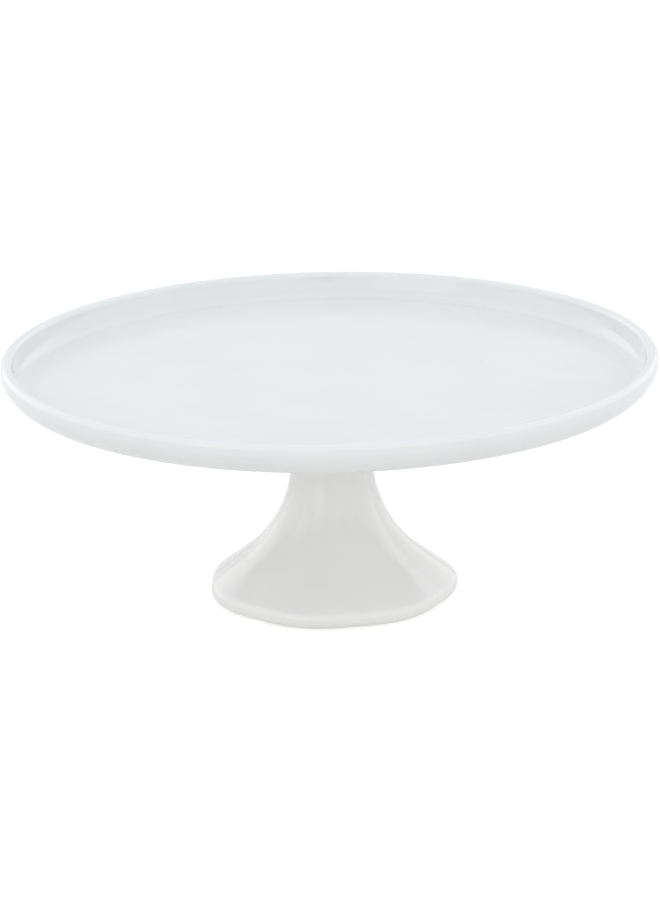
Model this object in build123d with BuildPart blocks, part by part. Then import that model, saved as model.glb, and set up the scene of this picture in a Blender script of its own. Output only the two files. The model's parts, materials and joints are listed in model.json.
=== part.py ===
"""Footed cake stand in glazed stoneware: a round plate with a rolled rim on a hollow, lobed
pedestal, clamped together by one screw that is reached from under the foot.

Units are millimetres. +Z is up, the table is z = 0, and the stand's axis is the Z axis.
Every piece is its own solid in its own STEP file.
"""

from build123d import *
import os
from math import cos, radians, sin, sqrt

os.makedirs("parts", exist_ok=True)

# --- driving dimensions -------------------------------------------------------------------

OVERALL_HEIGHT = 116.0  # table to the top of the rim
PLATE_DIAMETER = 300.0  # outside of the rim, a 12 in plate
PLATE_DEPTH = 11.6  # rim top down to the floor of the plate
NECK_RADIUS = 19.3  # narrowest part of the pedestal
FOOT_STAND_OFF = 0.6  # height of the pads below the foot ring

# plate
RIM_ROLL_RADIUS = 2.6  # rolled lip
WALL_BULGE = 0.3  # the wall swells this much past the rim
WALL_BULGE_DROP = 5.0  # the widest place is this far below the rim
FLOOR_THICKNESS = 5.9  # at the middle of the plate
SEAT_RADIUS = 34.0  # flat ring under the plate that sits over the pedestal
BOSS_RADIUS = 12.0  # centring boss under the plate
BOSS_HEIGHT = 6.8

# pedestal
LOBES = 7
LOBE_PHASE = 27.5  # degrees from +X towards -Y to the first crease
LOBE_DEPTH = 1.8  # crease below crown, at the foot
LOBE_FADE_HEIGHT = 98.5  # the creases would run out at this height
FLARE_RADIUS = 58.0  # the one concave arc of the neck
NECK_HEIGHT = 65.5  # height of the narrowest part
FLARE_SLOPE = 1.3  # outward run per unit of fall where the arc becomes the straight skirt
LIP_RADIUS = 4.6  # rounded lip of the foot
WALL = 5.0  # wall of the pedestal
FOOT_RING_INNER = 47.5  # inner radius of the flat ring that the foot stands on
DECK_THICKNESS = 11.0  # closed top of the pedestal
POCKET_DEPTH = 7.0  # pocket in the deck for the plate's boss
POCKET_CLEARANCE = 0.6

# clamping stack, M6
GASKET_THICKNESS = 1.0
GASKET_INNER = 15.0
GASKET_OUTER = 27.0
SCREW_RADIUS = 2.95  # M6 thread, drawn as a plain shank
SCREW_LENGTH = 16.0
SCREW_HEAD_RADIUS = 6.0
SCREW_HEAD_HEIGHT = 4.6
SCREW_HEAD_DOME = 2.2  # rise of the pan head's rounded edge
SCREW_TIP_CHAMFER = 0.5
CROSS_WIDTH = 1.6  # cross recess for a No. 3 driver
CROSS_SPAN = 6.4
CROSS_DEPTH = 2.6
CROSS_TAPER = 12  # degrees
SCREW_HOLE_RADIUS = 3.4
INSERT_RADIUS = 4.1
INSERT_LENGTH = 8.0
INSERT_BORE_RADIUS = 3.1
INSERT_BORE_DEPTH = 7.2
INSERT_RECESS = 0.2
RUBBER_RADIUS = 10.0
RUBBER_THICKNESS = 1.5
WASHER_RADIUS = 9.0
WASHER_THICKNESS = 1.2
WASHER_CHAMFER = 0.2
LOCK_RADIUS = 5.9
LOCK_THICKNESS = 1.5
LOCK_GAP = 1.2
WASHER_HOLE_RADIUS = 3.2

# pads under the foot ring
PAD_RADIUS = 3.2
PAD_THICKNESS = 1.8
PAD_EDGE = 0.4

# --- levels, worked out from the dimensions -----------------------------------------------

RIM_RADIUS = PLATE_DIAMETER / 2
FLOOR_LEVEL = OVERALL_HEIGHT - PLATE_DEPTH
SEAT_LEVEL = FLOOR_LEVEL - FLOOR_THICKNESS
BOSS_LEVEL = SEAT_LEVEL - BOSS_HEIGHT
DECK_LEVEL = SEAT_LEVEL - GASKET_THICKNESS
DECK_UNDERSIDE = DECK_LEVEL - DECK_THICKNESS
RUBBER_LEVEL = DECK_UNDERSIDE - RUBBER_THICKNESS
WASHER_LEVEL = RUBBER_LEVEL - WASHER_THICKNESS
LOCK_LEVEL = WASHER_LEVEL - LOCK_THICKNESS
INSERT_LEVEL = BOSS_LEVEL + INSERT_RECESS


# --- plate --------------------------------------------------------------------------------

ROLL_OUTER = RIM_RADIUS + WALL_BULGE * 2 / 3
ROLL_AXIS = ROLL_OUTER - RIM_ROLL_RADIUS  # radius of the centre of the rolled lip
ROLL_INNER = ROLL_AXIS - RIM_ROLL_RADIUS
ROLL_LEVEL = OVERALL_HEIGHT - RIM_ROLL_RADIUS
# profile points, radius and level: the underside turns up at the foot of the wall
WALL_FOOT = (RIM_RADIUS - 14.0, SEAT_LEVEL + 2.3)
WALL_KNEE = (RIM_RADIUS - 3.7, SEAT_LEVEL + 5.6)
WALL_WIDEST = (RIM_RADIUS + WALL_BULGE, OVERALL_HEIGHT - WALL_BULGE_DROP)
COVE_TOP = (RIM_RADIUS - 6.2, FLOOR_LEVEL + 4.3)
COVE_MIDDLE = (RIM_RADIUS - 7.9, FLOOR_LEVEL + 1.3)
COVE_FOOT = (RIM_RADIUS - 11.0, FLOOR_LEVEL)

with BuildPart() as plate:
    with BuildSketch(Plane.XZ):
        with BuildLine():
            Polyline(
                (0, BOSS_LEVEL),
                (BOSS_RADIUS, BOSS_LEVEL),
                (BOSS_RADIUS, SEAT_LEVEL),
                (SEAT_RADIUS, SEAT_LEVEL),
                WALL_FOOT,
            )
            ThreePointArc(WALL_FOOT, WALL_KNEE, WALL_WIDEST)
            Line(WALL_WIDEST, (ROLL_OUTER, ROLL_LEVEL))
            ThreePointArc((ROLL_OUTER, ROLL_LEVEL), (ROLL_AXIS, OVERALL_HEIGHT), (ROLL_INNER, ROLL_LEVEL))
            Line((ROLL_INNER, ROLL_LEVEL), COVE_TOP)
            ThreePointArc(COVE_TOP, COVE_MIDDLE, COVE_FOOT)
            Polyline(COVE_FOOT, (0, FLOOR_LEVEL), (0, BOSS_LEVEL))
        make_face()
    revolve(axis=Axis.Z)
    with BuildSketch(Plane.XY.offset(BOSS_LEVEL)):
        Circle(INSERT_RADIUS)
    extrude(amount=INSERT_RECESS + INSERT_LENGTH, mode=Mode.SUBTRACT)
plate.part.label = "plate"
export_step(plate.part, "parts/plate.step")

with BuildPart() as threaded_insert:
    with BuildSketch(Plane.XY.offset(INSERT_LEVEL)):
        Circle(INSERT_RADIUS)
    extrude(amount=INSERT_LENGTH)
    with BuildSketch(Plane.XY.offset(INSERT_LEVEL)):
        Circle(INSERT_BORE_RADIUS)
    extrude(amount=INSERT_BORE_DEPTH, mode=Mode.SUBTRACT)
threaded_insert.part.label = "threaded_insert"
export_step(threaded_insert.part, "parts/threaded_insert.step")


# --- pedestal -----------------------------------------------------------------------------

ARC_AXIS = NECK_RADIUS + FLARE_RADIUS  # radius at which the neck's arc is centred
INNER_ARC = FLARE_RADIUS + WALL
SLOPE_LENGTH = sqrt(1 + FLARE_SLOPE**2)
LIP_SINK = 0.2  # the lip's arc is cut off by the foot ring
LIP_AXIS_LEVEL = FOOT_STAND_OFF + LIP_RADIUS - LIP_SINK


def arc_end(arc_radius):
    """Radius and level where the neck's arc becomes the straight skirt."""
    radius = ARC_AXIS - arc_radius / SLOPE_LENGTH
    return radius, NECK_HEIGHT - arc_radius * FLARE_SLOPE / SLOPE_LENGTH


def skirt(height, arc_radius):
    """Radius of the neck's arc, or of the straight skirt below it, at a height."""
    end_radius, end_level = arc_end(arc_radius)
    if height >= end_level:
        return ARC_AXIS - sqrt(arc_radius**2 - (NECK_HEIGHT - height) ** 2)
    return end_radius + (end_level - height) * FLARE_SLOPE


# the lip's arc touches the straight skirt, and the hollow's skirt ends on the foot ring
LIP_TOUCH_LEVEL = LIP_AXIS_LEVEL + LIP_RADIUS * FLARE_SLOPE / SLOPE_LENGTH
LIP_AXIS = skirt(LIP_TOUCH_LEVEL, FLARE_RADIUS) - LIP_RADIUS / SLOPE_LENGTH
HOLLOW_END = arc_end(INNER_ARC)
RING_TOP = HOLLOW_END[1] - (FOOT_RING_INNER - HOLLOW_END[0]) / FLARE_SLOPE


def outer_radius(height):
    """Radius of the lobes' crowns on the outside."""
    if height >= LIP_TOUCH_LEVEL:
        return skirt(height, FLARE_RADIUS)
    return LIP_AXIS + sqrt(LIP_RADIUS**2 - (height - LIP_AXIS_LEVEL) ** 2)


def polar(radius, angle):
    """Point at a radius and an angle in degrees."""
    return (radius * cos(radians(angle)), radius * sin(radians(angle)))


def lobed_outline(radius, height):
    """Draw one closed outline: an arc for each lobe, meeting its neighbours in a crease."""
    crease = radius - LOBE_DEPTH * (1 - height / LOBE_FADE_HEIGHT)
    lobe_angle = 360 / LOBES
    for lobe in range(LOBES):
        start = -LOBE_PHASE + lobe * lobe_angle
        end = start + lobe_angle
        ThreePointArc(polar(crease, start), polar(radius, (start + end) / 2), polar(crease, end))


def evenly(first, last, count):
    """Levels from first to last, evenly spaced."""
    return [first + (last - first) * step / (count - 1) for step in range(count)]


LIP_SECTIONS = 6
OUTER_SECTIONS = 11
INNER_SECTIONS = 9
OUTER_LEVELS = (
    evenly(FOOT_STAND_OFF, LIP_TOUCH_LEVEL, LIP_SECTIONS)
    + evenly(LIP_TOUCH_LEVEL, DECK_LEVEL, OUTER_SECTIONS)[1:]
)
INNER_LEVELS = evenly(RING_TOP, DECK_UNDERSIDE, INNER_SECTIONS)
PAD_CIRCLE = (FOOT_RING_INNER + LIP_AXIS) / 2
PAD_ANGLE = -LOBE_PHASE + 180 / LOBES  # the pads sit under the crowns

with BuildPart() as pedestal:
    for level in OUTER_LEVELS:
        with BuildSketch(Plane.XY.offset(level)):
            with BuildLine():
                lobed_outline(outer_radius(level), level)
            make_face()
    loft()
    for level in INNER_LEVELS:
        with BuildSketch(Plane.XY.offset(level)):
            with BuildLine():
                lobed_outline(skirt(level, INNER_ARC), level)
            make_face()
    loft(mode=Mode.SUBTRACT)
    with BuildSketch(Plane.XY.offset(FOOT_STAND_OFF)):
        with BuildLine():
            lobed_outline(FOOT_RING_INNER, RING_TOP)
        make_face()
    extrude(amount=RING_TOP - FOOT_STAND_OFF, mode=Mode.SUBTRACT)
    with BuildSketch(Plane.XY.offset(DECK_LEVEL)):
        Circle(BOSS_RADIUS + POCKET_CLEARANCE)
    extrude(amount=-POCKET_DEPTH, mode=Mode.SUBTRACT)
    with BuildSketch(Plane.XY.offset(DECK_UNDERSIDE)):
        Circle(SCREW_HOLE_RADIUS)
    extrude(amount=DECK_THICKNESS, mode=Mode.SUBTRACT)
    with BuildSketch(Plane.XY.offset(FOOT_STAND_OFF)):
        with PolarLocations(PAD_CIRCLE, LOBES, start_angle=PAD_ANGLE):
            Circle(PAD_RADIUS)
    extrude(amount=PAD_THICKNESS - FOOT_STAND_OFF, mode=Mode.SUBTRACT)
pedestal.part.label = "pedestal"
export_step(pedestal.part, "parts/pedestal.step")

for number in range(LOBES):
    with BuildPart() as foot_pad:
        with BuildSketch():
            with Locations(polar(PAD_CIRCLE, PAD_ANGLE + number * 360 / LOBES)):
                Circle(PAD_RADIUS)
        extrude(amount=PAD_THICKNESS)
        chamfer(foot_pad.edges().sort_by(Axis.Z)[0], PAD_EDGE)
    foot_pad.part.label = f"foot_pad_{number + 1}"
    export_step(foot_pad.part, f"parts/foot_pad_{number + 1}.step")


# --- clamping stack -----------------------------------------------------------------------

with BuildPart() as neck_gasket:
    with BuildSketch(Plane.XY.offset(DECK_LEVEL)):
        Circle(GASKET_OUTER)
        Circle(GASKET_INNER, mode=Mode.SUBTRACT)
    extrude(amount=GASKET_THICKNESS)
neck_gasket.part.label = "neck_gasket"
export_step(neck_gasket.part, "parts/neck_gasket.step")

with BuildPart() as rubber_washer:
    with BuildSketch(Plane.XY.offset(RUBBER_LEVEL)):
        Circle(RUBBER_RADIUS)
        Circle(WASHER_HOLE_RADIUS, mode=Mode.SUBTRACT)
    extrude(amount=RUBBER_THICKNESS)
rubber_washer.part.label = "rubber_washer"
export_step(rubber_washer.part, "parts/rubber_washer.step")

with BuildPart() as flat_washer:
    with BuildSketch(Plane.XY.offset(WASHER_LEVEL)):
        Circle(WASHER_RADIUS)
        Circle(WASHER_HOLE_RADIUS, mode=Mode.SUBTRACT)
    extrude(amount=WASHER_THICKNESS)
    chamfer(flat_washer.edges().filter_by(GeomType.CIRCLE).group_by(SortBy.RADIUS)[-1], WASHER_CHAMFER)
flat_washer.part.label = "flat_washer"
export_step(flat_washer.part, "parts/flat_washer.step")

with BuildPart() as lock_washer:
    with BuildSketch(Plane.XY.offset(LOCK_LEVEL)):
        Circle(LOCK_RADIUS)
        Circle(WASHER_HOLE_RADIUS, mode=Mode.SUBTRACT)
        with Locations((LOCK_RADIUS, 0)):
            Rectangle(LOCK_RADIUS, LOCK_GAP, mode=Mode.SUBTRACT)
    extrude(amount=LOCK_THICKNESS)
lock_washer.part.label = "lock_washer"
export_step(lock_washer.part, "parts/lock_washer.step")

HEAD_BOTTOM = LOCK_LEVEL - SCREW_HEAD_HEIGHT

with BuildPart() as clamp_screw:
    with BuildSketch(Plane.XY.offset(HEAD_BOTTOM)):
        Circle(SCREW_HEAD_RADIUS)
    extrude(amount=SCREW_HEAD_HEIGHT)
    fillet(clamp_screw.edges().sort_by(Axis.Z)[0], SCREW_HEAD_DOME)
    with BuildSketch(Plane.XY.offset(LOCK_LEVEL)):
        Circle(SCREW_RADIUS)
    extrude(amount=SCREW_LENGTH)
    chamfer(clamp_screw.edges().sort_by(Axis.Z)[-1], SCREW_TIP_CHAMFER)
    with BuildSketch(Plane.XY.offset(HEAD_BOTTOM)):
        Rectangle(CROSS_SPAN, CROSS_WIDTH)
        Rectangle(CROSS_WIDTH, CROSS_SPAN)
    extrude(amount=CROSS_DEPTH, taper=CROSS_TAPER, mode=Mode.SUBTRACT)
clamp_screw.part.label = "clamp_screw"
export_step(clamp_screw.part, "parts/clamp_screw.step")
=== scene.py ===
# %% [markdown]
# # A footed cake stand in white glazed stoneware
#
# The stand is a round plate on a hollow, seven-lobed pedestal. A screw under the foot pulls the two
# together. This notebook loads the engineered model as a fixed frame and builds what is seen
# around it: glaze, bare clay, brass, zinc and silicone. Nothing in the frame is moved or resized.
# The main levels and radii are read back from it, and the rest are stated where they are used.

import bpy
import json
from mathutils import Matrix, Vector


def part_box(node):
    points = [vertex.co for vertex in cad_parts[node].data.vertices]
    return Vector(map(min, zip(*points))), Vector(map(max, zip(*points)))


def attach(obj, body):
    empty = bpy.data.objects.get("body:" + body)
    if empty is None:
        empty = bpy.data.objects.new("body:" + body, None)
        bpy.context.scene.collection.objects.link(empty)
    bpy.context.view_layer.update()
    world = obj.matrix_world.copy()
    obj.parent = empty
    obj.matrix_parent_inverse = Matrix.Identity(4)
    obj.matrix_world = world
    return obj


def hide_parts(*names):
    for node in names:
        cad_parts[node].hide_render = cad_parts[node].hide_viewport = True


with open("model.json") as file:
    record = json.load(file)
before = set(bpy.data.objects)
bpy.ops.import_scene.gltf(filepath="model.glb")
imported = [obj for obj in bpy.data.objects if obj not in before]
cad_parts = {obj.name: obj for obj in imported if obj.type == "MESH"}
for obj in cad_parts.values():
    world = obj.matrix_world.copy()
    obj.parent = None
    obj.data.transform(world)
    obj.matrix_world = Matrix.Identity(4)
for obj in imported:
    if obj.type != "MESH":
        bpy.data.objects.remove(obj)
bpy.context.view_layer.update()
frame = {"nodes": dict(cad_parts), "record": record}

# %% Tools
import json
from math import atan2, cos, hypot, pi, radians, sin, sqrt, tan

import bmesh
import bpy
from mathutils import Matrix, Vector

MM = 0.001
scene = bpy.context.scene

# %% [markdown]
# ## Reading sizes from the frame
#
# A potter measures the parts that came out of the mould before making the next tool. Here the
# same is done with the boxes of the engineered nodes: the rim, the foot ring, the levels of the
# washers. If the frame changes, the looks follow it.

# %% Measure the nodes
def measured(name):
    """Lowest and highest corners of an engineered node, in millimetres."""
    return [Vector(corner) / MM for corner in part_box(name)]


def level_of(mount):
    """Level of one of the record's mounts, in millimetres."""
    return next(m["pos_m"][2] for m in frame["record"]["mounts"] if m["name"] == mount) / MM


plate_low, plate_high = measured("plate")
pedestal_low, pedestal_high = measured("pedestal")
insert_low, insert_high = measured("threaded_insert")
gasket_low, gasket_high = measured("neck_gasket")
rubber_low, rubber_high = measured("rubber_washer")
flat_low, flat_high = measured("flat_washer")
screw_low, screw_high = measured("clamp_screw")
pad_names = sorted(name for name in frame["nodes"] if name.startswith("foot_pad"))

RIM_TOP = plate_high.z
RIM_WIDEST = plate_high.x
FLOOR_LEVEL = level_of("cake_rest")
SEAT = gasket_high.z
DECK_TOP = pedestal_high.z
DECK_UNDER = rubber_high.z
FOOT_RING = pedestal_low.z
print(f"rim top {RIM_TOP:.1f} mm, widest radius {RIM_WIDEST:.1f} mm, cake floor {FLOOR_LEVEL:.1f} mm")
print(f"deck {DECK_UNDER:.1f} to {DECK_TOP:.1f} mm, seat {SEAT:.1f} mm, foot ring {FOOT_RING:.1f} mm")
print("pads:", pad_names)

# %% [markdown]
# ## A little toolbox for node trees
#
# Geometry trees and material trees are both graphs of nodes, so one pair of helpers serves both.
# `node` adds a node, sets its options and fills or wires its sockets; `maths` adds one step of
# arithmetic and returns its result.

# %% Node helpers
def wire(tree, socket, value):
    """Give a socket a plain value, or link it if the value is another socket."""
    if isinstance(value, bpy.types.NodeSocket):
        tree.links.new(value, socket)
    else:
        socket.default_value = value


def node(tree, kind, sockets=None, **options):
    """Add a node with its options set and its input sockets filled."""
    made = tree.nodes.new(kind)
    for name, value in options.items():
        setattr(made, name, value)
    for name, value in (sockets or {}).items():
        wire(tree, made.inputs[name], value)
    return made


def maths(tree, operation, *values):
    """One arithmetic step; returns the output socket."""
    made = node(tree, "ShaderNodeMath", operation=operation)
    for socket, value in zip(made.inputs, values):
        wire(tree, socket, value)
    return made.outputs[0]


def open_group(name, kind, inputs, outputs):
    """A new node group with named sockets: (name, socket type, default)."""
    tree = bpy.data.node_groups.new(name, kind)
    for title, socket_type, default in inputs:
        socket = tree.interface.new_socket(title, in_out="INPUT", socket_type=socket_type)
        if default is not None:
            socket.default_value = default
    for title, socket_type in outputs:
        tree.interface.new_socket(title, in_out="OUTPUT", socket_type=socket_type)
    return tree, tree.nodes.new("NodeGroupInput").outputs, tree.nodes.new("NodeGroupOutput")


# %% [markdown]
# ## Drawing a profile
#
# A thrown or jiggered piece is fully described by half of its cross-section. The section is drawn
# as a few corners, each with the radius that the tool leaves on it, and `rounded_path` turns them
# into a fine line. Only the corners are given; every point between comes from the rule.

# %% Profile tools
ARC_STEP = radians(9)  # longest turn between two points of a rounded corner


def rounded_corner(before, here, after, fillet):
    """Points along the arc that rounds one corner."""
    to_before = (before - here).normalized()
    to_after = (after - here).normalized()
    half = to_before.angle(to_after) / 2
    turn = pi - 2 * half
    centre = here + (to_before + to_after).normalized() * fillet / sin(half)
    first = here + to_before * fillet / tan(half) - centre
    last = here + to_after * fillet / tan(half) - centre
    steps = max(2, round(turn / ARC_STEP))
    shares = [step / steps for step in range(steps + 1)]
    return [centre + (first * sin((1 - t) * turn) + last * sin(t * turn)) / sin(turn) for t in shares]


def rounded_path(corners, spacing, closed=False):
    """Round each (radius, level, fillet) corner, in millimetres, and fill the long runs with points."""
    points = []
    for index, (radius, level, fillet) in enumerate(corners):
        here = Vector((radius, level))
        if fillet:
            before = Vector(corners[index - 1][:2])
            after = Vector(corners[(index + 1) % len(corners)][:2])
            points += rounded_corner(before, here, after, fillet)
        else:
            points.append(here)
    if closed:
        points.append(points[0])
    path = []
    for start, end in zip(points, points[1:]):
        count = max(1, round((end - start).length / spacing))
        path += [start.lerp(end, step / count) for step in range(count)]
    return path + [points[-1]]


def arc(centre, radius, first, last, steps=14):
    """Corners with no fillet along an arc, angles in degrees."""
    turns = [radians(first + (last - first) * step / steps) for step in range(steps + 1)]
    return [(centre[0] + radius * cos(turn), centre[1] + radius * sin(turn), 0) for turn in turns]


# %% [markdown]
# ## One geometry tree for every turned piece
#
# Plate, pedestal, washers, screw and pads are all turned about one axis. They could each be spun in
# edit mode, or made with the Screw modifier, but one rule fits them all, and Geometry Nodes states
# it once: take a grid, let one direction run along the profile and the other round the axis, and
# set every point's place from its row and its turn.
#
# Two ripples can be added to the radius. **Lobes** are the rounded ribs of the pedestal, with soft
# creases between them that fade out with height; the same ripple, much finer, is the knurl of the
# brass insert. **Thread** is a triangular ripple that climbs one pitch per turn.

# %% Build the turning tree
TURNED_INPUTS = [
    ("Profile", "NodeSocketGeometry", None),
    ("Segments", "NodeSocketInt", 96),
    ("Lobes", "NodeSocketInt", 0),
    ("Crease Depth", "NodeSocketFloat", 0.0),
    ("Crease Softness", "NodeSocketFloat", 0.3),
    ("Crease Angle", "NodeSocketFloat", 0.0),
    ("Fade Height", "NodeSocketFloat", 1000.0),
    ("Lobes From Radius", "NodeSocketFloat", 0.0),
    ("Thread Depth", "NodeSocketFloat", 0.0),
    ("Thread Pitch", "NodeSocketFloat", 0.001),
    ("Thread To Radius", "NodeSocketFloat", 0.0),
    ("Material", "NodeSocketMaterial", None),
]


def lobe_ripple(tree, given, turn, radius, level):
    """How far the radius is drawn in by the creases, at a turn, radius and level."""
    past_crease = maths(tree, "SUBTRACT", turn, given["Crease Angle"])
    half_lobes = maths(tree, "DIVIDE", given["Lobes"], 2.0)
    wave = maths(tree, "SINE", maths(tree, "MULTIPLY", past_crease, half_lobes))
    soft = given["Crease Softness"]
    soft_square = maths(tree, "MULTIPLY", soft, soft)
    rounded = maths(tree, "SQRT", maths(tree, "MULTIPLY_ADD", wave, wave, soft_square))
    rise = maths(tree, "SUBTRACT", rounded, soft)
    full = maths(tree, "SUBTRACT", maths(tree, "SQRT", maths(tree, "ADD", 1.0, soft_square)), soft)
    crease = maths(tree, "SUBTRACT", 1.0, maths(tree, "DIVIDE", rise, full))
    climbed = maths(tree, "DIVIDE", level, given["Fade Height"])
    fade = maths(tree, "MAXIMUM", 0.0, maths(tree, "SUBTRACT", 1.0, climbed))
    outside = maths(tree, "GREATER_THAN", radius, given["Lobes From Radius"])
    depth = maths(tree, "MULTIPLY", given["Crease Depth"], maths(tree, "MULTIPLY", fade, outside))
    return maths(tree, "MULTIPLY", depth, crease)


def thread_ripple(tree, given, turn, radius, level):
    """How far the radius is cut in by a right-hand thread."""
    climb = maths(tree, "DIVIDE", level, given["Thread Pitch"])
    phase = maths(tree, "SUBTRACT", climb, maths(tree, "DIVIDE", turn, 2 * pi))
    centred = maths(tree, "SUBTRACT", maths(tree, "FRACT", phase), 0.5)
    saw = maths(tree, "MULTIPLY", 2.0, maths(tree, "ABSOLUTE", centred))
    inside = maths(tree, "LESS_THAN", radius, given["Thread To Radius"])
    off_axis = maths(tree, "GREATER_THAN", radius, 0.5 * MM)
    return maths(tree, "MULTIPLY", maths(tree, "MULTIPLY", saw, given["Thread Depth"]),
                 maths(tree, "MULTIPLY", inside, off_axis))


def build_turning_tree():
    """Geometry tree that turns a profile about Z, with lobes or a thread."""
    tree, given, out = open_group("turned form", "GeometryNodeTree", TURNED_INPUTS,
                                  [("Geometry", "NodeSocketGeometry")])
    rows = node(tree, "GeometryNodeAttributeDomainSize", {"Geometry": given["Profile"]}, component="MESH")
    last_row = maths(tree, "SUBTRACT", rows.outputs["Point Count"], 1.0)
    grid = node(tree, "GeometryNodeMeshGrid", {
        "Size X": last_row,
        "Size Y": 1.0,
        "Vertices X": rows.outputs["Point Count"],
        "Vertices Y": maths(tree, "ADD", given["Segments"], 1.0),
    })
    place = node(tree, "GeometryNodeInputPosition").outputs[0]
    across = node(tree, "ShaderNodeSeparateXYZ", {"Vector": place}).outputs
    row = maths(tree, "ROUND", maths(tree, "ADD", across["X"], maths(tree, "DIVIDE", last_row, 2.0)))
    turn = maths(tree, "MULTIPLY", maths(tree, "ADD", across["Y"], 0.5), 2 * pi)
    sample = node(tree, "GeometryNodeSampleIndex", {"Geometry": given["Profile"], "Index": row},
                  data_type="FLOAT_VECTOR", domain="POINT")
    wire(tree, next(s for s in sample.inputs if s.name == "Value" and s.enabled), place)
    drawn = node(tree, "ShaderNodeSeparateXYZ", {"Vector": sample.outputs[0]}).outputs
    radius, level = drawn["X"], drawn["Z"]
    ripple = maths(tree, "ADD", lobe_ripple(tree, given, turn, radius, level),
                   thread_ripple(tree, given, turn, radius, level))
    shaped = maths(tree, "MAXIMUM", 0.0, maths(tree, "SUBTRACT", radius, ripple))
    point = node(tree, "ShaderNodeCombineXYZ", {
        "X": maths(tree, "MULTIPLY", shaped, maths(tree, "COSINE", turn)),
        "Y": maths(tree, "MULTIPLY", shaped, maths(tree, "SINE", turn)),
        "Z": level,
    })
    form = node(tree, "GeometryNodeSetPosition",
                {"Geometry": grid.outputs["Mesh"], "Position": point.outputs[0]})
    closed = node(tree, "GeometryNodeMergeByDistance", {"Geometry": form.outputs[0], "Distance": 1e-6})
    smooth = node(tree, "GeometryNodeSetShadeSmooth", {"Geometry": closed.outputs[0]})
    real = node(tree, "GeometryNodeRealizeInstances", {"Geometry": smooth.outputs[0]})
    faced = node(tree, "GeometryNodeSetMaterial",
                 {"Geometry": real.outputs[0], "Material": given["Material"]})
    tree.links.new(faced.outputs[0], out.inputs["Geometry"])
    return tree


turning_tree = build_turning_tree()
print("turning tree:", len(turning_tree.nodes), "nodes")

# %% [markdown]
# The tree's inputs are set on a modifier by socket identifier, before the object is first
# evaluated. The result is then copied into a plain mesh, so that the finished piece carries no
# live modifier, and its faces are turned outwards.

# %% Turn a piece
def plain_mesh(piece):
    """Replace a piece's modifiers by the mesh that they make."""
    graph = bpy.context.evaluated_depsgraph_get()
    made = bpy.data.meshes.new_from_object(piece.evaluated_get(graph), depsgraph=graph)
    piece.modifiers.clear()
    piece.data = made
    return made


def face_outwards(mesh):
    """Recalculate the faces' directions on a closed mesh."""
    form = bmesh.new()
    form.from_mesh(mesh)
    bmesh.ops.dissolve_degenerate(form, dist=1e-7, edges=form.edges)
    bmesh.ops.recalc_face_normals(form, faces=form.faces)
    open_edges = sum(1 for edge in form.edges if not edge.is_manifold)
    form.to_mesh(mesh)
    form.free()
    return open_edges


def turned(name, path, material, **sizes):
    """A closed piece turned from a profile in millimetres; sizes name the tree's other inputs."""
    line = bpy.data.meshes.new(name + "_profile")
    line.from_pydata([(p[0] * MM, 0, p[1] * MM) for p in path], [], [])
    piece = bpy.data.objects.new(name, line)
    scene.collection.objects.link(piece)
    modifier = piece.modifiers.new("turn", "NODES")
    modifier.node_group = turning_tree
    values = {key.replace("_", " ").title(): value for key, value in sizes.items()}
    values["Material"] = material
    for item in turning_tree.interface.items_tree:
        if item.item_type == "SOCKET" and item.name in values:
            modifier[item.identifier] = values[item.name]
    mesh = plain_mesh(piece)
    mesh.name = name
    open_edges = face_outwards(mesh)
    print(f"{name}: {len(mesh.polygons)} faces, {open_edges} open edges")
    return piece


# %% [markdown]
# ## Finishes
#
# Effects that several materials share are node groups with named inputs: the faint cloudiness and
# peel of a fired glaze, and the fine scratches of turned metal. The shader itself stays in each
# material, with its gloss set on its own sockets.

# %% Shared effect: fired glaze
PINHOLE_CORE = 0.02  # in cells of the pinhole pattern
PINHOLE_EDGE = 0.05
PINHOLE_SHARE = 0.14  # share of cells that hold one
PINHOLE_TONE = (0.45, 0.42, 0.38, 1)


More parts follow.
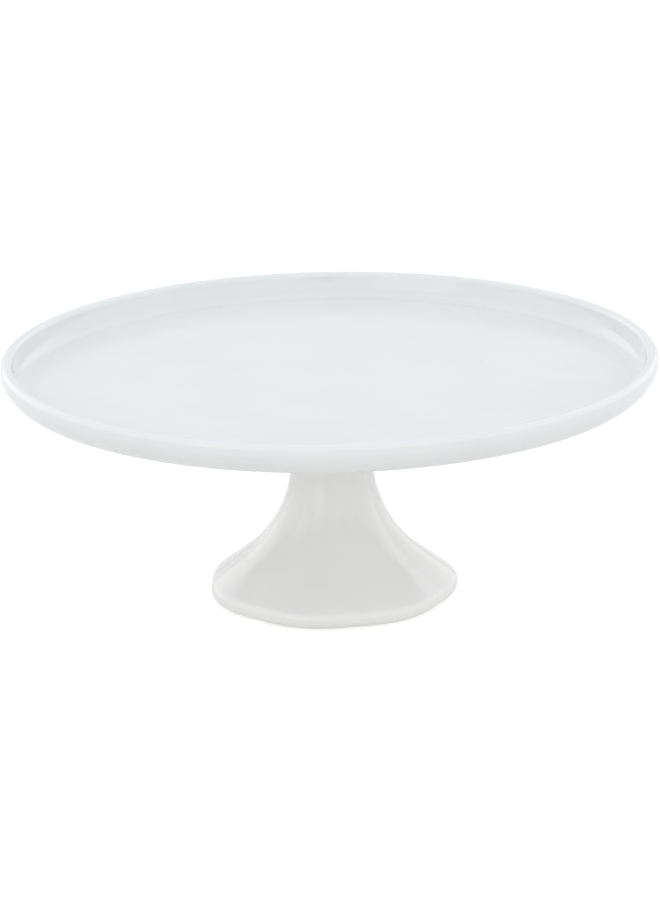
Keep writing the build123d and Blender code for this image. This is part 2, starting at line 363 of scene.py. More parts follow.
def build_glaze_group():
    """Cloudy tone, peel and pinholes of a fired glaze, from Object coordinates."""
    tree, given, out = open_group("fired glaze", "ShaderNodeTree", [
        ("Vector", "NodeSocketVector", None),
        ("Thin Tone", "NodeSocketColor", (0.8, 0.8, 0.8, 1)),
        ("Thick Tone", "NodeSocketColor", (0.8, 0.8, 0.8, 1)),
        ("Cloud Scale", "NodeSocketFloat", 22.0),
        ("Peel Scale", "NodeSocketFloat", 260.0),
        ("Pinhole Scale", "NodeSocketFloat", 95.0),
        ("Gloss", "NodeSocketFloat", 0.08),
    ], [("Color", "NodeSocketColor"), ("Roughness", "NodeSocketFloat"), ("Height", "NodeSocketFloat")])
    cloud = node(tree, "ShaderNodeTexNoise",
                 {"Vector": given["Vector"], "Scale": given["Cloud Scale"], "Detail": 3.0, "Roughness": 0.5})
    clouded = node(tree, "ShaderNodeMapRange", {
        "Value": cloud.outputs[0], "From Min": 0.35, "From Max": 0.65,
    }, interpolation_type="SMOOTHSTEP")
    tone = node(tree, "ShaderNodeMix", {"Factor": clouded.outputs[0]}, data_type="RGBA")
    wire(tree, tone.inputs[6], given["Thin Tone"])
    wire(tree, tone.inputs[7], given["Thick Tone"])
    peel = node(tree, "ShaderNodeTexNoise",
                {"Vector": given["Vector"], "Scale": given["Peel Scale"], "Detail": 2.0, "Roughness": 0.45})
    cells = node(tree, "ShaderNodeTexVoronoi", {"Vector": given["Vector"], "Scale": given["Pinhole Scale"]})
    near = node(tree, "ShaderNodeMapRange", {
        "Value": cells.outputs["Distance"],
        "From Min": PINHOLE_CORE, "From Max": PINHOLE_EDGE, "To Min": 1.0, "To Max": 0.0,
    })
    chance = node(tree, "ShaderNodeSeparateColor", {"Color": cells.outputs["Color"]})
    rare = maths(tree, "GREATER_THAN", chance.outputs[0], 1 - PINHOLE_SHARE)
    pit = maths(tree, "MULTIPLY", near.outputs[0], rare)
    shade = node(tree, "ShaderNodeMix", {"Factor": maths(tree, "MULTIPLY", pit, 0.25)}, data_type="RGBA")
    wire(tree, shade.inputs[6], tone.outputs[2])
    wire(tree, shade.inputs[7], PINHOLE_TONE)
    tree.links.new(shade.outputs[2], out.inputs["Color"])
    rough = maths(tree, "MULTIPLY_ADD", peel.outputs[0], 0.05, given["Gloss"])
    tree.links.new(maths(tree, "MULTIPLY_ADD", pit, 0.3, rough), out.inputs["Roughness"])
    tree.links.new(maths(tree, "SUBTRACT", peel.outputs[0], pit), out.inputs["Height"])
    return tree


glaze_group = build_glaze_group()


# %% Shared effect: turned metal and moulded rubber
RING_SHARE = 0.6  # how much of the pattern is rings, the rest being spots


def build_grain_group():
    """Fine ring-shaped tool marks and handling marks about the Z axis."""
    tree, given, out = open_group("worked surface", "ShaderNodeTree", [
        ("Vector", "NodeSocketVector", None),
        ("Light Tone", "NodeSocketColor", (0.8, 0.8, 0.8, 1)),
        ("Dark Tone", "NodeSocketColor", (0.4, 0.4, 0.4, 1)),
        ("Ring Scale", "NodeSocketFloat", 2500.0),
        ("Spot Scale", "NodeSocketFloat", 400.0),
        ("Smooth", "NodeSocketFloat", 0.25),
        ("Rough", "NodeSocketFloat", 0.45),
    ], [("Color", "NodeSocketColor"), ("Roughness", "NodeSocketFloat"), ("Height", "NodeSocketFloat")])
    place = node(tree, "ShaderNodeSeparateXYZ", {"Vector": given["Vector"]}).outputs
    flat = node(tree, "ShaderNodeCombineXYZ", {"X": place["X"], "Y": place["Y"]})
    reach = node(tree, "ShaderNodeVectorMath", {0: flat.outputs[0]}, operation="LENGTH")
    rings_at = node(tree, "ShaderNodeCombineXYZ", {"X": reach.outputs["Value"], "Z": place["Z"]})
    rings = node(tree, "ShaderNodeTexNoise",
                 {"Vector": rings_at.outputs[0], "Scale": given["Ring Scale"], "Detail": 2.0})
    spots = node(tree, "ShaderNodeTexNoise",
                 {"Vector": given["Vector"], "Scale": given["Spot Scale"], "Detail": 4.0})
    ring_share = maths(tree, "MULTIPLY", rings.outputs[0], RING_SHARE)
    spot_share = maths(tree, "MULTIPLY", spots.outputs[0], 1 - RING_SHARE)
    mixed = maths(tree, "ADD", ring_share, spot_share)
    tone = node(tree, "ShaderNodeMix", {"Factor": mixed}, data_type="RGBA")
    wire(tree, tone.inputs[6], given["Dark Tone"])
    wire(tree, tone.inputs[7], given["Light Tone"])
    tree.links.new(tone.outputs[2], out.inputs["Color"])
    spread = maths(tree, "SUBTRACT", given["Rough"], given["Smooth"])
    tree.links.new(maths(tree, "MULTIPLY_ADD", mixed, spread, given["Smooth"]), out.inputs["Roughness"])
    tree.links.new(mixed, out.inputs["Height"])
    return tree


grain_group = build_grain_group()


# %% Material helper
def effect_material(name, group, values, bump_height, **shader):
    """A material whose colour, roughness and relief come from a shared effect."""
    material = bpy.data.materials.new(name)
    material.use_nodes = True
    tree = material.node_tree
    tree.nodes.clear()
    out = node(tree, "ShaderNodeOutputMaterial")
    surface = node(tree, "ShaderNodeBsdfPrincipled")
    tree.links.new(surface.outputs[0], out.inputs["Surface"])
    place = node(tree, "ShaderNodeTexCoord").outputs["Object"]
    effect = node(tree, "ShaderNodeGroup", node_tree=group)
    wire(tree, effect.inputs["Vector"], place)
    for title, value in values.items():
        wire(tree, effect.inputs[title], value)
    for title, value in shader.items():
        surface.inputs[title.replace("_", " ").title().replace("Ior", "IOR")].default_value = value
    bump = node(tree, "ShaderNodeBump", {"Height": effect.outputs["Height"], "Distance": bump_height})
    tree.links.new(effect.outputs["Color"], surface.inputs["Base Color"])
    tree.links.new(effect.outputs["Roughness"], surface.inputs["Roughness"])
    tree.links.new(bump.outputs[0], surface.inputs["Normal"])
    return material


# %% [markdown]
# ## White glaze
#
# Tin-white or zircon-white stoneware glaze is opaque, faintly cool where it lies thick, and a touch
# warmer where it runs thin over an edge. Its gloss is strong but not mirror-like: firing leaves a
# soft peel and, here and there, a pinhole. The plate and the pedestal are glazed in one dip and share
# the effect. The pedestal's tones are painted lighter than the plate's. This is painted light that
# makes up for the shade the plate casts over the pedestal.
#
# The foot ring is wiped bare before firing, or the piece would stick to the kiln shelf. The bare
# clay is read from the height of the surface, so the line where the glaze stops is part of the
# pedestal's own material.

# %% Glaze materials
white_glaze = effect_material("white_glaze", glaze_group, {
    "Thin Tone": (0.745, 0.743, 0.742, 1),
    "Thick Tone": (0.765, 0.763, 0.762, 1),
    "Gloss": 0.13,
}, bump_height=0.03 * MM, Coat_Weight=0.35, Coat_Roughness=0.04, IOR=1.5)

# The plate's glaze with its tones painted lighter and a touch warmer: painted light against the plate's
# shade over the pedestal
pedestal_glaze = effect_material("pedestal_glaze", glaze_group, {
    "Thin Tone": (0.800, 0.798, 0.786, 1),
    "Thick Tone": (0.820, 0.818, 0.806, 1),
    "Gloss": 0.13,
}, bump_height=0.03 * MM, Coat_Weight=0.35, Coat_Roughness=0.04, IOR=1.5)

GLAZE_LINE = (FOOT_RING + 0.5) * MM  # level at which the glaze stops
GLAZE_LINE_WANDER = 0.5 * MM


def add_bare_ring(material, line, wander):
    """Let bare clay show below a level on a glazed material."""
    tree = material.node_tree
    surface = next(n for n in tree.nodes if n.type == "BSDF_PRINCIPLED")
    place = node(tree, "ShaderNodeTexCoord").outputs["Object"]
    height = node(tree, "ShaderNodeSeparateXYZ", {"Vector": place}).outputs["Z"]
    waver = node(tree, "ShaderNodeTexNoise", {"Vector": place, "Scale": 90.0, "Detail": 3.0})
    edge = maths(tree, "MULTIPLY_ADD", waver.outputs[0], -wander, height)
    bare = maths(tree, "LESS_THAN", edge, line - wander / 2)
    grit = node(tree, "ShaderNodeTexNoise", {"Vector": place, "Scale": 1800.0, "Detail": 4.0})
    clay = node(tree, "ShaderNodeMix", {"Factor": grit.outputs[0]}, data_type="RGBA")
    wire(tree, clay.inputs[6], (0.52, 0.47, 0.40, 1))
    wire(tree, clay.inputs[7], (0.70, 0.66, 0.59, 1))
    for socket, plain in (("Base Color", clay.outputs[2]), ("Roughness", 0.85)):
        glazed = surface.inputs[socket].links[0].from_socket
        kind = "RGBA" if socket == "Base Color" else "FLOAT"
        choice = node(tree, "ShaderNodeMix", {"Factor": bare}, data_type=kind)
        first, second = (6, 7) if kind == "RGBA" else (2, 3)
        wire(tree, choice.inputs[first], glazed)
        wire(tree, choice.inputs[second], plain)
        tree.links.new(choice.outputs[2 if kind == "RGBA" else 0], surface.inputs[socket])


add_bare_ring(pedestal_glaze, GLAZE_LINE, GLAZE_LINE_WANDER)
print("glaze stops at", round(GLAZE_LINE / MM, 2), "mm")

# %% [markdown]
# ## Metals and rubbers
#
# The clamp stack is small hardware: bright brass, dull zinc, grey spring steel, black rubber and
# clear silicone. Each takes the shared worked-surface effect with its own tones, and metals and
# rubbers part ways only on the shader's own sockets.

# %% Hardware materials
brass = effect_material("brass", grain_group, {
    "Light Tone": (0.86, 0.66, 0.33, 1), "Dark Tone": (0.58, 0.40, 0.17, 1),
    "Smooth": 0.22, "Rough": 0.42,
}, bump_height=0.01 * MM, Metallic=1.0)
zinc_steel = effect_material("zinc_steel", grain_group, {
    "Light Tone": (0.74, 0.76, 0.80, 1), "Dark Tone": (0.47, 0.49, 0.54, 1),
    "Smooth": 0.24, "Rough": 0.5,
}, bump_height=0.01 * MM, Metallic=1.0)
spring_steel = effect_material("spring_steel", grain_group, {
    "Light Tone": (0.45, 0.45, 0.46, 1), "Dark Tone": (0.22, 0.22, 0.24, 1),
    "Smooth": 0.3, "Rough": 0.55,
}, bump_height=0.01 * MM, Metallic=1.0)
black_rubber = effect_material("black_rubber", grain_group, {
    "Light Tone": (0.045, 0.045, 0.047, 1), "Dark Tone": (0.018, 0.018, 0.019, 1),
    "Smooth": 0.6, "Rough": 0.85,
}, bump_height=0.02 * MM)
white_silicone = effect_material("silicone_gasket", grain_group, {
    "Light Tone": (0.80, 0.80, 0.79, 1), "Dark Tone": (0.70, 0.70, 0.69, 1),
    "Smooth": 0.45, "Rough": 0.65,
}, bump_height=0.01 * MM)
clear_silicone = effect_material("clear_silicone", grain_group, {
    "Light Tone": (0.86, 0.87, 0.86, 1), "Dark Tone": (0.76, 0.77, 0.76, 1),
    "Smooth": 0.25, "Rough": 0.45,
}, bump_height=0.01 * MM, Transmission_Weight=0.45, IOR=1.41)
print("hardware finishes:", [m.name for m in (brass, zinc_steel, spring_steel, black_rubber)])


# %% Hand a piece to the frame
def hand_over(piece, body, slot, *nodes):
    """Let a finished piece ride on its body and stand for its engineered nodes."""
    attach(piece, body)
    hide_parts(*nodes)


# %% [markdown]
# ## The plate
#
# A plate like this is jiggered: a spinning mould shapes the face while a template scrapes the
# back. So one profile says everything. Underneath there is a central boss that holds the brass
# insert, a flat seat for the gasket, and a slightly dished underside. The wall swells outwards,
# turns over in a rolled rim, falls steeply inside, breaks at a soft line and sweeps in a cove to
# the flat floor.
#
# The template leaves a radius on every corner. The break inside the wall is only a change of slope,
# but it is what parts the wall's upper band from the cove.

# %% Draw the plate's profile
def arc_through(first, middle, last, steps=16):
    """Corners with no fillet along the arc through three points."""
    (ax, ay), (bx, by), (cx, cy) = first, middle, last
    d = 2 * (ax * (by - cy) + bx * (cy - ay) + cx * (ay - by))
    a2, b2, c2 = ax * ax + ay * ay, bx * bx + by * by, cx * cx + cy * cy
    x = (a2 * (by - cy) + b2 * (cy - ay) + c2 * (ay - by)) / d
    y = (a2 * (cx - bx) + b2 * (ax - cx) + c2 * (bx - ax)) / d
    angles = [atan2(py - y, px - x) for px, py in (first, middle, last)]
    while angles[1] - angles[0] > pi:
        angles[1] -= 2 * pi
    while angles[0] - angles[1] > pi:
        angles[1] += 2 * pi
    while angles[2] - angles[1] > pi:
        angles[2] -= 2 * pi
    while angles[1] - angles[2] > pi:
        angles[2] += 2 * pi
    return arc((x, y), hypot(ax - x, ay - y), angles[0] * 180 / pi, angles[2] * 180 / pi, steps)


ROLL = 2.6  # radius of the rolled rim
ROLL_AXIS = RIM_WIDEST - 0.1 - ROLL
ROLL_LEVEL = RIM_TOP - ROLL
BOSS_RADIUS = 12.0
SEAT_RADIUS = 34.0
WALL_FOOT = (RIM_WIDEST - 14.3, SEAT + 2.3)
WALL_KNEE = (RIM_WIDEST - 4.0, RIM_TOP - 11.9)
WALL_WIDEST = (RIM_WIDEST, RIM_TOP - 5.0)
COVE_TOP = (RIM_WIDEST - 6.5, RIM_TOP - 7.3)
COVE_BEND = (RIM_WIDEST - 8.6, FLOOR_LEVEL + 1.3)
COVE_FOOT = (RIM_WIDEST - 13.0, FLOOR_LEVEL)

plate_path = rounded_path(
    [(0, insert_high.z, 0), (insert_high.x, insert_high.z, 0.3), (insert_high.x, plate_low.z, 0.3),
     (BOSS_RADIUS, plate_low.z, 1.2), (BOSS_RADIUS, SEAT, 0.8), (SEAT_RADIUS, SEAT, 3.0)]
    + arc_through(WALL_FOOT, WALL_KNEE, WALL_WIDEST, 20)
    + arc((ROLL_AXIS, ROLL_LEVEL), ROLL, 0, 180, 20)
    + arc_through(COVE_TOP, COVE_BEND, COVE_FOOT, 14)
    + [(0, FLOOR_LEVEL, 0)],
    spacing=2.5)
print(len(plate_path), "points on the plate's profile")

# %% Turn the plate
plate_piece = turned("plate_glazed", plate_path, white_glaze, segments=320)
hand_over(plate_piece, "plate", "white_glaze", "plate")

# %% [markdown]
# ## The pedestal
#
# The pedestal is slip-cast in a two-part mould: poured full, left until a wall about 5 mm thick
# has formed, then drained, which is why it is hollow and why the inside follows the outside. One
# large arc flares from the narrow neck up to the deck and down to the skirt. The skirt runs
# straight into a rounded lip, and the lip ends in the flat bare foot ring.
#
# Seven soft creases divide the foot into lobes. They are deepest at the lip and have almost run
# out at the deck, which is what the tree's fade height says. The inner wall repeats them, because
# the slip settles on the mould in a layer of even thickness.

# %% Draw the pedestal's profile
NECK_RADIUS = 19.3
NECK_LEVEL = 65.5
FLARE = 58.0  # radius of the flare's one large arc
WALL = 5.0
FLARE_CENTRE = (NECK_RADIUS + FLARE, NECK_LEVEL)
SKIRT_SLOPE = 1.3  # outward run per unit of fall
SKIRT_TURN = 180 / pi * atan2(SKIRT_SLOPE, 1)
LIP = 4.6
LIP_CENTRE = (53.28, 5.0)
RING_INNER = 47.5
LOBE_COUNT = len(pad_names)
LOBE_DEPTH = 1.8 * MM
LOBE_FADE = 98.5 * MM
FIRST_CREASE = radians(-27.5)


def flare_turn(level, radius):
    """Angle about the flare's centre, in degrees, at which an arc of this radius meets a level."""
    return 180 - 180 / pi * atan2(level - NECK_LEVEL, sqrt(radius ** 2 - (level - NECK_LEVEL) ** 2))


lip_drop = LIP_CENTRE[1] - FOOT_RING
lip_end = -180 / pi * atan2(lip_drop, sqrt(LIP ** 2 - lip_drop ** 2))
inner_foot = arc(FLARE_CENTRE, FLARE + WALL, 180 + SKIRT_TURN, 180 + SKIRT_TURN, 1)[0]
ring_top = inner_foot[1] - (RING_INNER - inner_foot[0]) / SKIRT_SLOPE
POCKET = BOSS_RADIUS + 0.6
POCKET_FLOOR = DECK_TOP - 7.0
HOLE = 3.4
deck_edge = arc(FLARE_CENTRE, FLARE, flare_turn(DECK_TOP, FLARE), 180, 1)[0]
ceiling_edge = arc(FLARE_CENTRE, FLARE + WALL, flare_turn(DECK_UNDER, FLARE + WALL), 180, 1)[0]
ceiling_turn = flare_turn(DECK_UNDER + 1.5, FLARE + WALL)

pedestal_path = rounded_path(
    [(HOLE, DECK_UNDER, 0.4), (HOLE, POCKET_FLOOR, 0.4), (POCKET, POCKET_FLOOR, 1.0),
     (POCKET, DECK_TOP, 0.8), (deck_edge[0], DECK_TOP, 0.7)]
    + arc(FLARE_CENTRE, FLARE, flare_turn(DECK_TOP - 2, FLARE), 180 + SKIRT_TURN, 40)
    + arc(LIP_CENTRE, LIP, SKIRT_TURN, lip_end, 18)
    + [(RING_INNER, FOOT_RING, 0.8), (RING_INNER, ring_top, 1.5)]
    + arc(FLARE_CENTRE, FLARE + WALL, 180 + SKIRT_TURN, ceiling_turn, 24)[:-1]
    + [(ceiling_edge[0], DECK_UNDER, 1.2)],
    spacing=1.6, closed=True)
print(len(pedestal_path), "points on the pedestal's profile")

# %% Turn the pedestal
pedestal_piece = turned(
    "pedestal_glazed", pedestal_path, pedestal_glaze,
    segments=40 * LOBE_COUNT, lobes=LOBE_COUNT, crease_depth=LOBE_DEPTH, crease_softness=0.16,
    crease_angle=FIRST_CREASE, fade_height=LOBE_FADE, lobes_from_radius=(POCKET + 4) * MM)
hand_over(pedestal_piece, "pedestal", "pedestal_glaze", "pedestal")

# %% [markdown]
# ## Gasket, washers and insert
#
# The gasket is a flat silicone ring with three low ribs on each face, so that it grips glazed
# ware. The rubber and steel washers are punched rings with a rolled edge. The insert is a turned
# brass plug with a straight knurl, which is the same lobe ripple as on the pedestal, much finer,
# and an internal thread that matches the screw's.

# %% Turn the ring pieces
def ring_path(inner, outer, bottom, top, edge, spacing=0.5):
    """Closed profile of a flat ring with rounded edges."""
    corners = [(inner, bottom, edge), (inner, top, edge), (outer, top, edge), (outer, bottom, edge)]
    return rounded_path(corners, spacing, closed=True)


GASKET_HOLE = 15.0
RIB = 0.15
rib_step = (gasket_high.x - GASKET_HOLE) / 7
face = [(GASKET_HOLE + rib_step * step, RIB if step % 2 else 0) for step in range(1, 7)]
gasket_path = rounded_path(
    [(GASKET_HOLE, gasket_low.z + RIB, 0.1), (GASKET_HOLE, gasket_high.z - RIB, 0.1)]
    + [(radius, gasket_high.z - RIB + rise, 0.1) for radius, rise in face]
    + [(gasket_high.x, gasket_high.z - RIB, 0.1), (gasket_high.x, gasket_low.z + RIB, 0.1)]
    + [(radius, gasket_low.z + RIB - rise, 0.1) for radius, rise in reversed(face)],
    spacing=0.6, closed=True)
gasket_piece = turned("neck_gasket_ribbed", gasket_path, white_silicone, segments=160)
hand_over(gasket_piece, "pedestal", "silicone_gasket", "neck_gasket")

WASHER_HOLE = 3.2
rubber_piece = turned("rubber_washer_moulded",
                      ring_path(WASHER_HOLE, rubber_high.x, rubber_low.z, rubber_high.z, 0.35),
                      black_rubber, segments=96)
hand_over(rubber_piece, "washers", "black_rubber", "rubber_washer")
flat_piece = turned("flat_washer_punched",
                    ring_path(WASHER_HOLE, flat_high.x, flat_low.z, flat_high.z, 0.22),
                    zinc_steel, segments=96)
hand_over(flat_piece, "washers", "zinc_steel", "flat_washer")

# %% Turn the threaded insert
BORE = 3.1
BORE_DEPTH = 7.2
THREAD_DEPTH = 0.45 * MM
PITCH = 1.0 * MM
insert_path = rounded_path(
    [(0, insert_low.z + BORE_DEPTH, 0), (BORE, insert_low.z + BORE_DEPTH, 0.2), (BORE, insert_low.z, 0.3),
     (insert_high.x, insert_low.z, 0.3), (insert_high.x, insert_high.z, 0.3), (0, insert_high.z, 0)],
    spacing=0.12)
insert_piece = turned(
    "threaded_insert_knurled", insert_path, brass, segments=144, lobes=36,
    crease_depth=0.18 * MM, crease_softness=0.3, lobes_from_radius=(insert_high.x - 0.05) * MM,
    thread_depth=THREAD_DEPTH, thread_pitch=PITCH, thread_to_radius=(BORE + 0.01) * MM)
hand_over(insert_piece, "plate", "brass", "threaded_insert")

# %% [markdown]
# ## The clamp screw
#
# The screw is an M6 pan head with a rolled thread. Its shank runs up through the washers and the
# deck into the insert, and its thread has the same pitch and start as the insert's, so the two
# mesh. The recess is a tapered cross cut into the head. A boolean makes it in one clean step, and
# the cutter is drawn as a twelve-sided outline that shrinks towards its tip.

# %% Turn the screw
SHANK = 2.95
HEAD_TALL = 4.6
DOME = 2.2
head_top = screw_low.z + HEAD_TALL
dome_radius = (screw_high.x ** 2 + DOME ** 2) / (2 * DOME)
dome_reach = 180 / pi * atan2(screw_high.x, dome_radius - DOME)
screw_path = rounded_path(
    [(0, screw_high.z, 0), (SHANK - 0.6, screw_high.z, 0.15), (SHANK, screw_high.z - 0.6, 0.1),
     (SHANK, head_top, 0.2), (screw_high.x, head_top, 0.25)]
    + arc((0, screw_low.z + dome_radius), dome_radius, -90 + dome_reach, -90, 16),
    spacing=0.12)
screw_piece = turned("clamp_screw_threaded", screw_path, zinc_steel, segments=96,
                     thread_depth=THREAD_DEPTH, thread_pitch=PITCH, thread_to_radius=(SHANK + 0.01) * MM)


# %% Cut the cross recess
def cross_outline(arm, width, level):
    """Twelve corners of a cross, in metres, at one level."""
    half = width / 2
    quarter = [(arm, -half), (arm, half), (half, half)]
    corners = []
    for turn in range(4):
        spin = Matrix.Rotation(turn * pi / 2, 2)
        corners += [spin @ Vector(corner) for corner in quarter]
    return [Vector((corner.x, corner.y, level)) * MM for corner in corners]


def cross_cutter(arm, width, bottom, top, taper):
    """A closed tapered cross between two levels."""
    form = bmesh.new()
    lower = [form.verts.new(place) for place in cross_outline(arm, width, bottom)]
    upper = [form.verts.new(place) for place in cross_outline(arm * taper, width * taper, top)]
    form.faces.new(lower)
    form.faces.new(upper)
    for index in range(len(lower)):
        after = (index + 1) % len(lower)
        form.faces.new((lower[index], lower[after], upper[after], upper[index]))
    bmesh.ops.recalc_face_normals(form, faces=form.faces)
    mesh = bpy.data.meshes.new("recess")
    form.to_mesh(mesh)
    form.free()
    cutter = bpy.data.objects.new("recess", mesh)
    scene.collection.objects.link(cutter)
    return cutter


recess = cross_cutter(3.6, 1.9, screw_low.z - 0.6, screw_low.z + 2.6, 0.5)
cut = screw_piece.modifiers.new("recess", "BOOLEAN")
cut.operation = "DIFFERENCE"
cut.solver = "EXACT"
cut.object = recess
plain_mesh(screw_piece)
bpy.data.objects.remove(recess)
for polygon in screw_piece.data.polygons:
    polygon.use_smooth = True
screw_piece.data.set_sharp_from_angle(angle=radians(35))
hand_over(screw_piece, "screw", "zinc_steel", "clamp_screw")
print("clamp screw:", len(screw_piece.data.polygons), "faces")

# %% [markdown]
# ## The lock washer
#
# The split lock washer is already the right shape in the engineered model, so it stays and only
# gets its finish.

# %% Finish the lock washer
for material_slot in frame["nodes"]["lock_washer"].material_slots:
    material_slot.material = spring_steel
print("lock washer slots:", len(frame["nodes"]["lock_washer"].material_slots))

# %% [markdown]
# ## Foot pads
#
# Seven clear silicone bumpers, one under each lobe, keep the bare clay off the table. They are
# moulded as low domes with a small flat where they rest. The same profile is turned seven times
# about the axis, and each mesh is then moved to the place of its own node.

# %% Turn and place the pads
def pad_path(radius, bottom, top):
    """Half-section of a low domed pad, resting on a small flat."""
    flat = radius * 0.88
    return rounded_path([(0, top, 0), (radius, top, 0.12), (radius, bottom + 0.55, 0.5),
                         (flat, bottom, 0.5), (0, bottom, 0)], 0.4)


for name in pad_names:
    low, high = measured(name)
    outline = pad_path((high.x - low.x) / 2, low.z, high.z)
    pad_piece = turned(name + "_moulded", outline, clear_silicone, segments=48)
    centre = Vector((low.x + high.x, low.y + high.y, 0)) / 2 * MM
    pad_piece.data.transform(Matrix.Translation(centre))
    hand_over(pad_piece, "pedestal", "clear_silicone", name)
print(len(pad_names), "pads placed")

# %% [markdown]
# ## Floor, sky and lamp
#
# White ware is shown on a bright seamless sweep. The sheet both reflects and glows, as a backlit
# sheet does, so that only a faint shadow is left under the foot. It looks brighter to the camera
# than it lights the ware, or the white plate would drown in its own background. The sky is a white
# tent: brightest at the sides, cooler and dimmer overhead. Two soft boxes, left of the camera and
# behind on the left, and the dark gap where the camera looks in are seen by mirror-like rays only,
# so that they streak the glaze without lighting one side of the ware more than the other.

# %% Stage floor
SWEEP_HALF_WIDTH = 1.6
SWEEP_PROFILE = [(-6.0, 0.0), (2.5, 0.0), (3.2, 0.06), (3.8, 0.25), (4.2, 0.6), (4.4, 1.2), (4.4, 3.5)]


def build_floor():
    """A long, gently curved sheet that reaches up behind the object."""
    form = bmesh.new()
    rows = [[form.verts.new((side * SWEEP_HALF_WIDTH, y, z)) for side in (-1, 1)] for y, z in SWEEP_PROFILE]
    for near, far in zip(rows, rows[1:]):
        form.faces.new((near[0], near[1], far[1], far[0]))
    mesh = bpy.data.meshes.new("sweep")
    form.to_mesh(mesh)
    form.free()
    sweep = bpy.data.objects.new("sweep", mesh)
    scene.collection.objects.link(sweep)
    return sweep


PAPER_GLOW = 0.43  # how much the paper lights the ware
PAPER_SEEN = 0.72  # how bright it looks to the camera
PAPER_MIRRORED = 0.10  # added where the glaze mirrors the flat part
PAPER_FLAT_BELOW = 0.03  # the sheet is flat below this height, in metres

sweep = build_floor()
sweep_paper = bpy.data.materials.new("sweep_paper")
sweep_paper.use_nodes = True
paper = next(n for n in sweep_paper.node_tree.nodes if n.type == "BSDF_PRINCIPLED")
paper.inputs["Base Color"].default_value = (0.40, 0.40, 0.40, 1)
paper.inputs["Roughness"].default_value = 0.9
paper.inputs["Specular IOR Level"].default_value = 0.0
paper.inputs["Emission Color"].default_value = (1, 1, 1, 1)
paper_tree = sweep_paper.node_tree
rays = node(paper_tree, "ShaderNodeLightPath").outputs
glow = node(paper_tree, "ShaderNodeMapRange",
            {"Value": rays["Is Camera Ray"], "To Min": PAPER_GLOW, "To Max": PAPER_SEEN}).outputs[0]
place = node(paper_tree, "ShaderNodeTexCoord").outputs["Object"]
height = node(paper_tree, "ShaderNodeSeparateXYZ", {"Vector": place}).outputs["Z"]
flat_part = maths(paper_tree, "LESS_THAN", height, PAPER_FLAT_BELOW)
mirrored = maths(paper_tree, "MULTIPLY", rays["Is Glossy Ray"], flat_part)
strength = maths(paper_tree, "MULTIPLY_ADD", mirrored, PAPER_MIRRORED, glow)
paper_tree.links.new(strength, paper.inputs["Emission Strength"])
sweep.data.materials.append(sweep_paper)
print("sweep:", len(sweep.data.polygons), "faces")


# %% White tent
def window(tree, value, low, high, soft):
    """A mask that is 1 between two values and fades to 0 over a soft margin."""
    rise = node(tree, "ShaderNodeMapRange", {
        "Value": value, "From Min": low - soft, "From Max": low + soft,
    }, interpolation_type="SMOOTHSTEP")
    fall = node(tree, "ShaderNodeMapRange", {
        "Value": value, "From Min": high - soft, "From Max": high + soft, "To Min": 1.0, "To Max": 0.0,
    }, interpolation_type="SMOOTHSTEP")
    return maths(tree, "MULTIPLY", rise.outputs[0], fall.outputs[0])


def build_tent():
    """World light: a white tent with soft boxes and a dark gap at the camera."""
    world = bpy.data.worlds.new("tent")
    world.use_nodes = True
    tree = world.node_tree
    tree.nodes.clear()
    way = node(tree, "ShaderNodeTexCoord").outputs["Generated"]
    parts = node(tree, "ShaderNodeSeparateXYZ", {"Vector": way}).outputs
    towards_viewer = maths(tree, "MULTIPLY", parts["Y"], -1.0)
    turn = maths(tree, "MULTIPLY", maths(tree, "ARCTAN2", parts["X"], towards_viewer), 180 / pi)
    rise = maths(tree, "MULTIPLY", maths(tree, "ARCSINE", parts["Z"]), 180 / pi)
    lit = node(tree, "ShaderNodeMapRange", {
        "Value": rise, "From Min": 0.0, "From Max": 80.0, "To Min": TENT_SIDE, "To Max": TENT_TOP,
    }, interpolation_type="SMOOTHSTEP").outputs[0]
    rays = node(tree, "ShaderNodeLightPath").outputs
    for left, right, bottom, top, added in SOFT_BOXES:
        across = window(tree, turn, left, right, BOX_MARGIN)
        panel = maths(tree, "MULTIPLY", across, window(tree, rise, bottom, top, BOX_MARGIN))
        mirrored = maths(tree, "MULTIPLY", panel, rays["Is Glossy Ray"])
        lit = maths(tree, "MULTIPLY_ADD", mirrored, added, lit)
    strength = node(tree, "ShaderNodeMix", {"Factor": rays["Is Camera Ray"]}, data_type="FLOAT")
    wire(tree, strength.inputs[2], lit)
    wire(tree, strength.inputs[3], TENT_SEEN)
    high = node(tree, "ShaderNodeMapRange", {"Value": rise, "From Min": 15.0, "From Max": 60.0},
                interpolation_type="SMOOTHSTEP").outputs[0]
    cool = maths(tree, "MULTIPLY", high, maths(tree, "SUBTRACT", 1.0, rays["Is Camera Ray"]))
    tint = node(tree, "ShaderNodeMix", {"Factor": cool}, data_type="RGBA")
    wire(tree, tint.inputs[6], SIDE_TINT)
    wire(tree, tint.inputs[7], TOP_TINT)
    glow = node(tree, "ShaderNodeBackground", {"Color": tint.outputs[2], "Strength": strength.outputs[0]})
    out = node(tree, "ShaderNodeOutputWorld")
    tree.links.new(glow.outputs[0], out.inputs["Surface"])
    return world


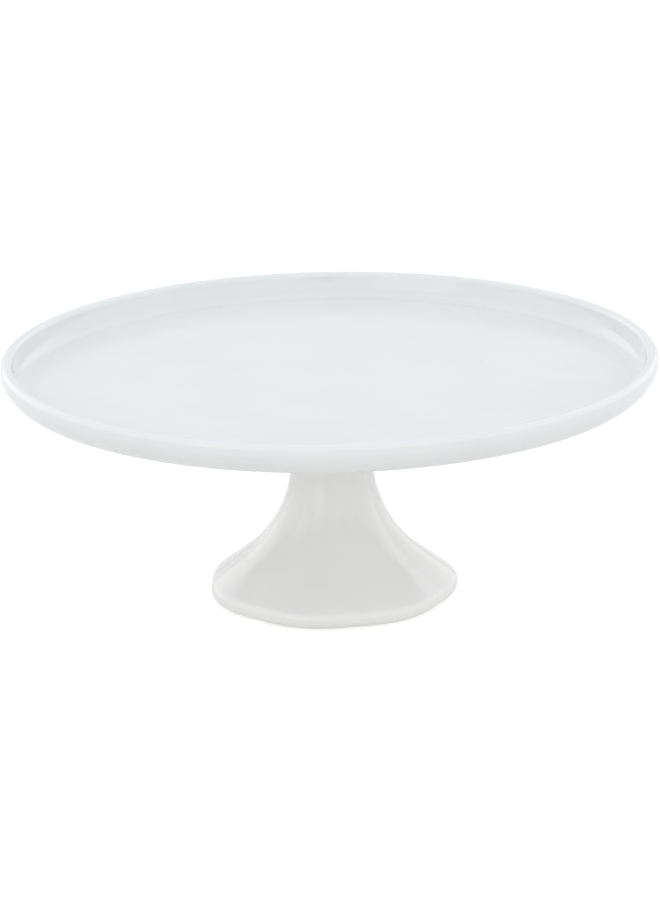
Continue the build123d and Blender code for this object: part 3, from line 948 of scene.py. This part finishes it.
TENT_SIDE = 1.3
TENT_TOP = 0.9
TENT_SEEN = 1.05  # how bright the tent looks to the camera
BOX_MARGIN = 4  # soft margin of every box, in degrees
SIDE_TINT = (1.0, 0.998, 0.985, 1)
TOP_TINT = (0.95, 1.01, 1.07, 1)
SOFT_BOXES = [  # left and right turn, lower and upper rise in degrees, added strength
    (-50, -18, -10, 30, 0.6),
    (-150, -115, 0, 30, 0.2),
    (-2, 8, -6, 9, -1.1),  # the dark gap at the camera
]
scene.world = build_tent()
scene.view_settings.view_transform = "Standard"


# %% Overhead lamp
lamp = bpy.data.lights.new("overhead", "AREA")
lamp.shape = "DISK"
lamp.size = 1.6
lamp.energy = 1.5
lamp_object = bpy.data.objects.new("overhead", lamp)
lamp_object.location = (-0.5, -0.3, 1.9)
lamp_object.rotation_euler = (Vector((0, 0, 0.1)) - lamp_object.location).to_track_quat("-Z", "Y").to_euler()
scene.collection.objects.link(lamp_object)
print("lamp aimed from", tuple(round(v, 2) for v in lamp_object.location))

# %% [markdown]
# ## Camera
#
# A long lens from nearly two metres keeps the plate's ellipse calm. The camera looks down about
# fifteen degrees on the rim. It is aimed by plain geometry: the rim's centre is put on a line from
# the camera at that elevation, and the lens axis is tilted a little further down, so that the whole
# stand fits.

# %% Place the camera
STAND_BACK = 1.8
LOOK_DOWN = radians(15.39)
LENS_TILT = radians(16.83)
LENS = 157.3
ROLL_RIGHT = radians(1.05)
SIDE_STEP = -0.4 * MM

camera = bpy.data.cameras.new("camera")
camera.lens = LENS
camera.sensor_width = 36
camera.clip_start = 0.05
camera.clip_end = 50
camera_object = bpy.data.objects.new("camera", camera)
rim_centre = Vector((0, 0, RIM_TOP * MM))
eye = rim_centre + STAND_BACK * Vector((0, -cos(LOOK_DOWN), sin(LOOK_DOWN))) + Vector((SIDE_STEP, 0, 0))
camera_object.matrix_world = (Matrix.Translation(eye) @ Matrix.Rotation(pi / 2 - LENS_TILT, 4, "X")
                              @ Matrix.Rotation(-ROLL_RIGHT, 4, "Z"))
scene.collection.objects.link(camera_object)
scene.camera = camera_object
print("camera at", tuple(round(v, 3) for v in eye))
